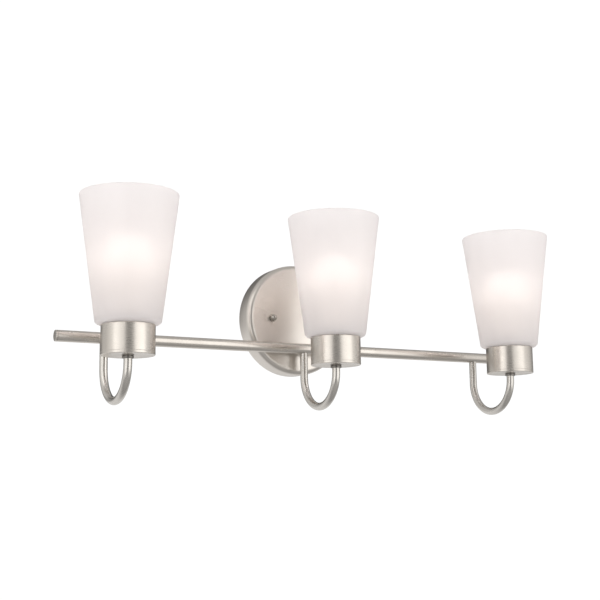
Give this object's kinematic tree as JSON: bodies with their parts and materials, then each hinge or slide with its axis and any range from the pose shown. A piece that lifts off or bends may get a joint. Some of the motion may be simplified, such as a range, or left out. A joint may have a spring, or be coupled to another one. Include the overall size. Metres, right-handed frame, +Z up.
{
  "type": "vanity light bar",
  "caption": "Wall light for over a mirror: round canopy, straight horizontal bar, looped tube arms rising into round cups, and frosted glass cone shades with screw-in bulbs.",
  "frame": {"origin": "centre of the canopy's back rim, on the wall", "axes": "+X along the bar, +Y into the wall, +Z up towards the open ends of the shades"},
  "size_m": [0.61, 0.1667, 0.2199],
  "materials": {
    "brushed_nickel": "warm satin nickel plate over steel, finely brushed",
    "dark_nickel": "dark nickel, satin",
    "zinc_steel": "bright zinc plate",
    "green_steel": "green dyed zinc",
    "brass": "bare pressed brass",
    "black_plastic": "fine grained moulding",
    "glazed_ceramic": "white glaze",
    "frosted_glass": "satin etched white glass, lit from inside",
    "bulb_glass": "inside frosted, lit",
    "bulb_base_metal": "rolled, bright",
    "black_glass": "glossy insulator with a soldered tip",
    "lead_insulation": "smooth wire insulation"
  },
  "bodies": {
    "root": {"canopy": "brushed_nickel", "stem_spacer": "brushed_nickel", "bar_tube": "brushed_nickel", "bar_end_cap_left": "brushed_nickel", "bar_end_cap_right": "brushed_nickel", "mounting_crossbar": "zinc_steel", "mounting_stud_left": "zinc_steel", "mounting_stud_right": "zinc_steel", "stud_nut_left": "zinc_steel", "stud_nut_right": "zinc_steel", "threaded_nipple": "zinc_steel", "nipple_washer": "zinc_steel", "nipple_nut": "zinc_steel", "ground_screw": "green_steel", "terminal_block": "black_plastic", "loop_arm_left": "brushed_nickel", "cup_left": "brushed_nickel", "cup_collar_left": "dark_nickel", "cup_nut_left": "zinc_steel", "socket_body_left": "glazed_ceramic", "socket_screw_shell_left": "brass", "socket_contact_left": "brass", "shade_ring_left": "zinc_steel", "glass_shade_left": "frosted_glass", "lead_left": "lead_insulation", "loop_arm_middle": "brushed_nickel", "cup_middle": "brushed_nickel", "cup_collar_middle": "dark_nickel", "cup_nut_middle": "zinc_steel", "socket_body_middle": "glazed_ceramic", "socket_screw_shell_middle": "brass", "socket_contact_middle": "brass", "shade_ring_middle": "zinc_steel", "glass_shade_middle": "frosted_glass", "lead_middle": "lead_insulation", "loop_arm_right": "brushed_nickel", "cup_right": "brushed_nickel", "cup_collar_right": "dark_nickel", "cup_nut_right": "zinc_steel", "socket_body_right": "glazed_ceramic", "socket_screw_shell_right": "brass", "socket_contact_right": "brass", "shade_ring_right": "zinc_steel", "glass_shade_right": "frosted_glass", "lead_right": "lead_insulation"},
    "bulb_tip_left": {"bulb_contact_left": "black_glass"},
    "bulb_left": {"bulb_glass_left": "bulb_glass", "bulb_base_left": "bulb_base_metal"},
    "bulb_tip_middle": {"bulb_contact_middle": "black_glass"},
    "bulb_middle": {"bulb_glass_middle": "bulb_glass", "bulb_base_middle": "bulb_base_metal"},
    "bulb_tip_right": {"bulb_contact_right": "black_glass"},
    "bulb_right": {"bulb_glass_right": "bulb_glass", "bulb_base_right": "bulb_base_metal"},
    "cap_washer_left": {"cap_washer_left": "brushed_nickel"},
    "cap_nut_left": {"cap_nut_left": "brushed_nickel"},
    "cap_washer_right": {"cap_washer_right": "brushed_nickel"},
    "cap_nut_right": {"cap_nut_right": "brushed_nickel"}
  },
  "joints": [
    {"name": "bulb_left_rise", "type": "slide", "parent": "root", "child": "bulb_tip_left", "axis": [0, 0, 1], "range_m": [0, 0.01814]},
    {"name": "bulb_left_turn", "type": "hinge", "parent": "bulb_tip_left", "child": "bulb_left", "pos_m": [-0.25, -0.1136, -0.0478], "axis": [0, 0, 1], "range_deg": [0, 1800]},
    {"name": "bulb_middle_rise", "type": "slide", "parent": "root", "child": "bulb_tip_middle", "axis": [0, 0, 1], "range_m": [0, 0.01814]},
    {"name": "bulb_middle_turn", "type": "hinge", "parent": "bulb_tip_middle", "child": "bulb_middle", "pos_m": [0, -0.1136, -0.0478], "axis": [0, 0, 1], "range_deg": [0, 1800]},
    {"name": "bulb_right_rise", "type": "slide", "parent": "root", "child": "bulb_tip_right", "axis": [0, 0, 1], "range_m": [0, 0.01814]},
    {"name": "bulb_right_turn", "type": "hinge", "parent": "bulb_tip_right", "child": "bulb_right", "pos_m": [0.25, -0.1136, -0.0478], "axis": [0, 0, 1], "range_deg": [0, 1800]},
    {"name": "cap_nut_left_travel", "type": "slide", "parent": "root", "child": "cap_washer_left", "axis": [0, -1, 0], "range_m": [0, 0.00476]},
    {"name": "cap_nut_left_turn", "type": "hinge", "parent": "cap_washer_left", "child": "cap_nut_left", "pos_m": [-0.0349, -0.0262, 0], "axis": [0, -1, 0], "range_deg": [0, 2160]},
    {"name": "cap_nut_right_travel", "type": "slide", "parent": "root", "child": "cap_washer_right", "axis": [0, -1, 0], "range_m": [0, 0.00476]},
    {"name": "cap_nut_right_turn", "type": "hinge", "parent": "cap_washer_right", "child": "cap_nut_right", "pos_m": [0.0349, -0.0262, 0], "axis": [0, -1, 0], "range_deg": [0, 2160]}
  ],
  "couplings": [
    {"joint": "bulb_left_turn", "follows": "bulb_left_rise", "rad_per_m": 1731.4},
    {"joint": "bulb_middle_turn", "follows": "bulb_middle_rise", "rad_per_m": 1731.4},
    {"joint": "bulb_right_turn", "follows": "bulb_right_rise", "rad_per_m": 1731.4},
    {"joint": "cap_nut_left_turn", "follows": "cap_nut_left_travel", "rad_per_m": 7913.3},
    {"joint": "cap_nut_right_turn", "follows": "cap_nut_right_travel", "rad_per_m": 7913.3}
  ]
}
